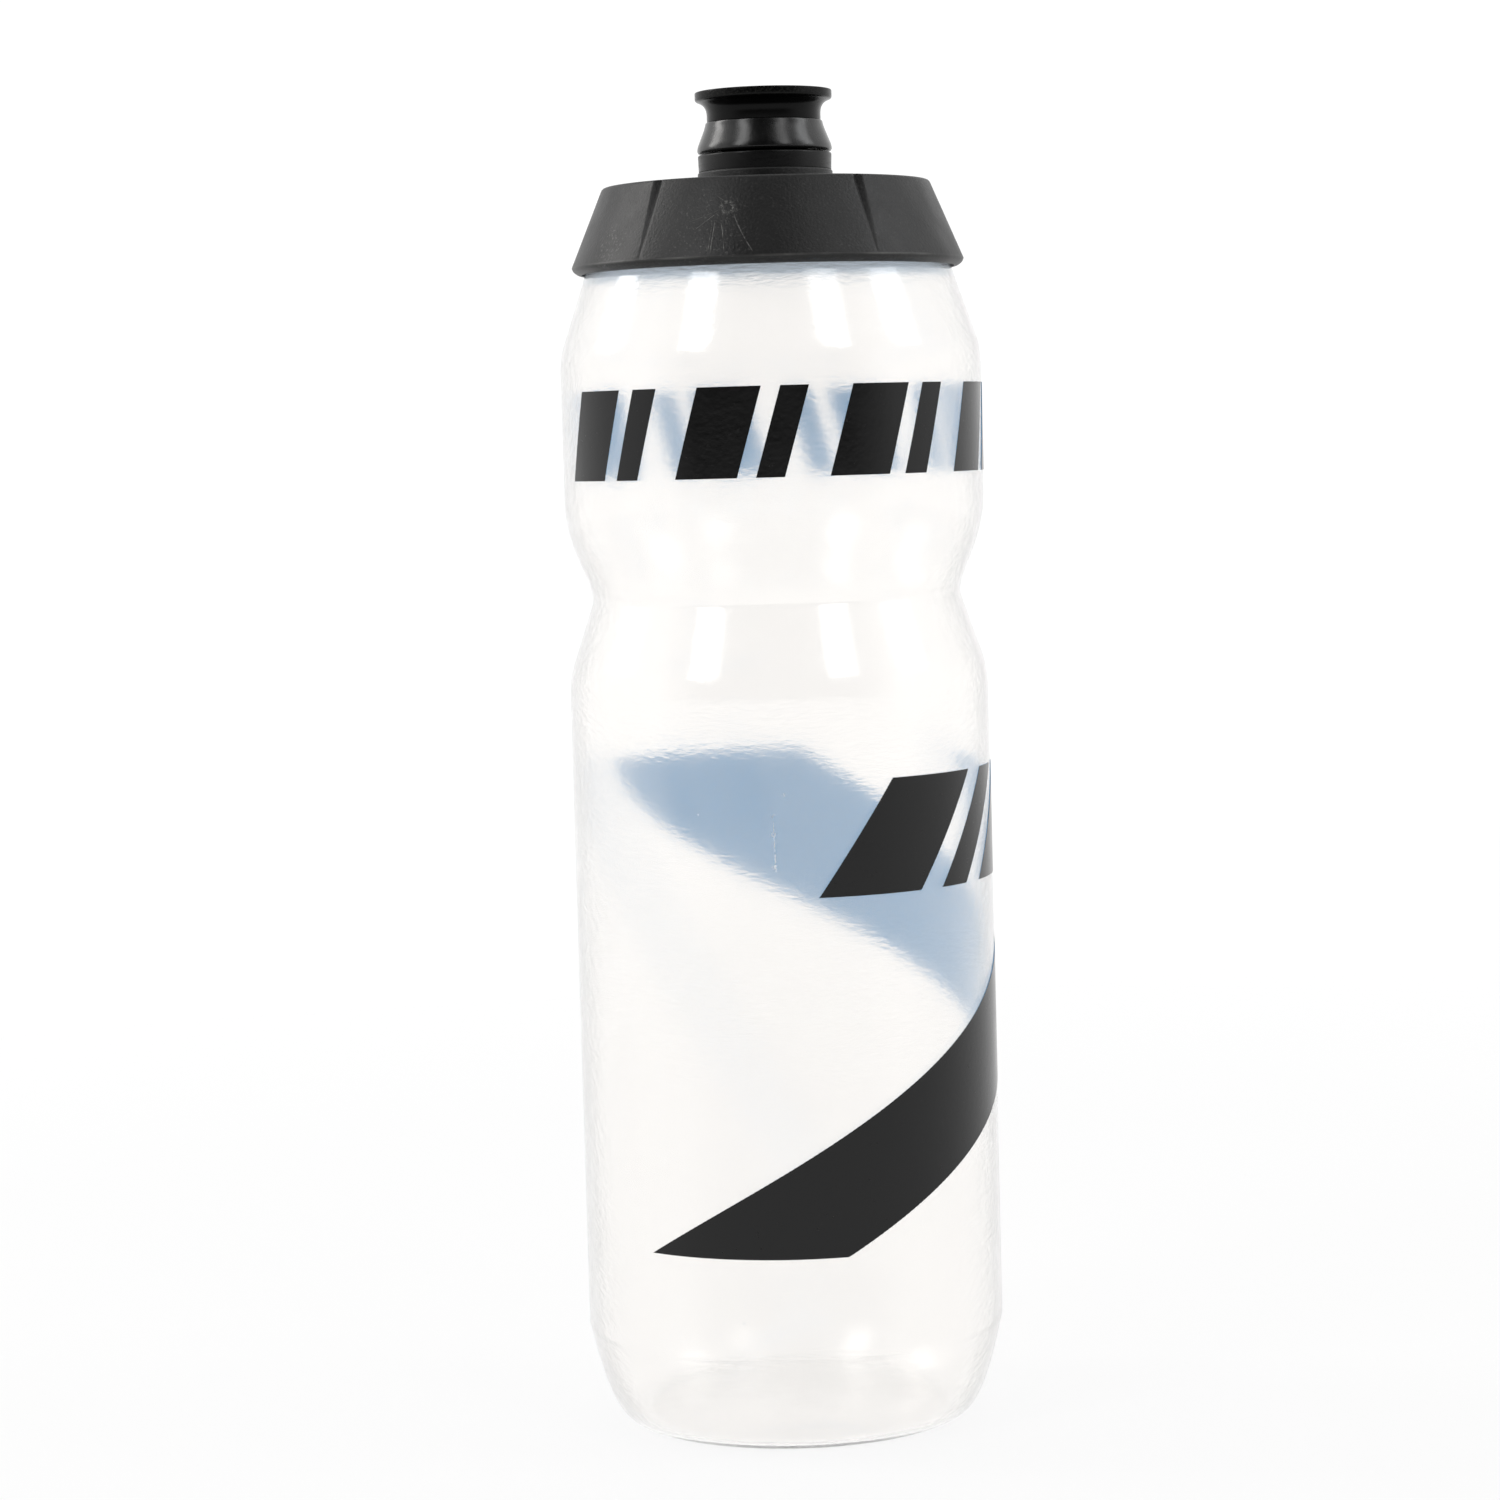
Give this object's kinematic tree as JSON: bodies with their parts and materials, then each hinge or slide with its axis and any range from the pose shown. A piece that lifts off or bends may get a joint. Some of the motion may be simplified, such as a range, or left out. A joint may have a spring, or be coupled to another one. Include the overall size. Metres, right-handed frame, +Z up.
{
  "type": "water bottle",
  "caption": "Squeezable translucent bicycle water bottle with a waist for a bottle cage, a conical screw cap with grip grooves, and a push-pull mouthpiece that closes on a stopper pin.",
  "frame": {"origin": "centre of the base ring that the bottle stands on", "axes": "+Z up along the bottle's turning axis, -Y towards the front, +X to the right"},
  "size_m": [0.074, 0.074, 0.2337],
  "materials": {
    "milky_ldpe": "milky translucent squeeze plastic, soft gloss",
    "matte_black_pp": "fine moulded grain, matte",
    "satin_black_pp": "satin",
    "gloss_black_pp": "gloss",
    "bite_tip_black": "gloss, a little dusty on top",
    "core_plastic": "satin",
    "seal_rubber": "matte"
  },
  "bodies": {
    "bottle": {"bottle_body": "milky_ldpe"},
    "gasket": {"cap_gasket": "seal_rubber"},
    "cap": {"screw_cap": "matte_black_pp", "valve_housing": "satin_black_pp", "housing_seal": "seal_rubber", "valve_core": "core_plastic"},
    "mouthpiece": {"mouthpiece_base": "gloss_black_pp", "bite_tip": "bite_tip_black", "stem_seal": "seal_rubber"}
  },
  "joints": [
    {"name": "cap_lift", "type": "slide", "parent": "bottle", "child": "gasket", "axis": [0, 0, 1], "range_m": [0, 0.0039]},
    {"name": "cap_turn", "type": "hinge", "parent": "gasket", "child": "cap", "pos_m": [0, 0, 0.21], "axis": [0, 0, 1], "range_deg": [0, 350]},
    {"name": "mouthpiece_pull", "type": "slide", "parent": "cap", "child": "mouthpiece", "axis": [0, 0, 1], "range_m": [0, 0.005]}
  ],
  "couplings": [
    {"joint": "cap_lift", "follows": "cap_turn", "m_per_rad": 0.00063662}
  ]
}
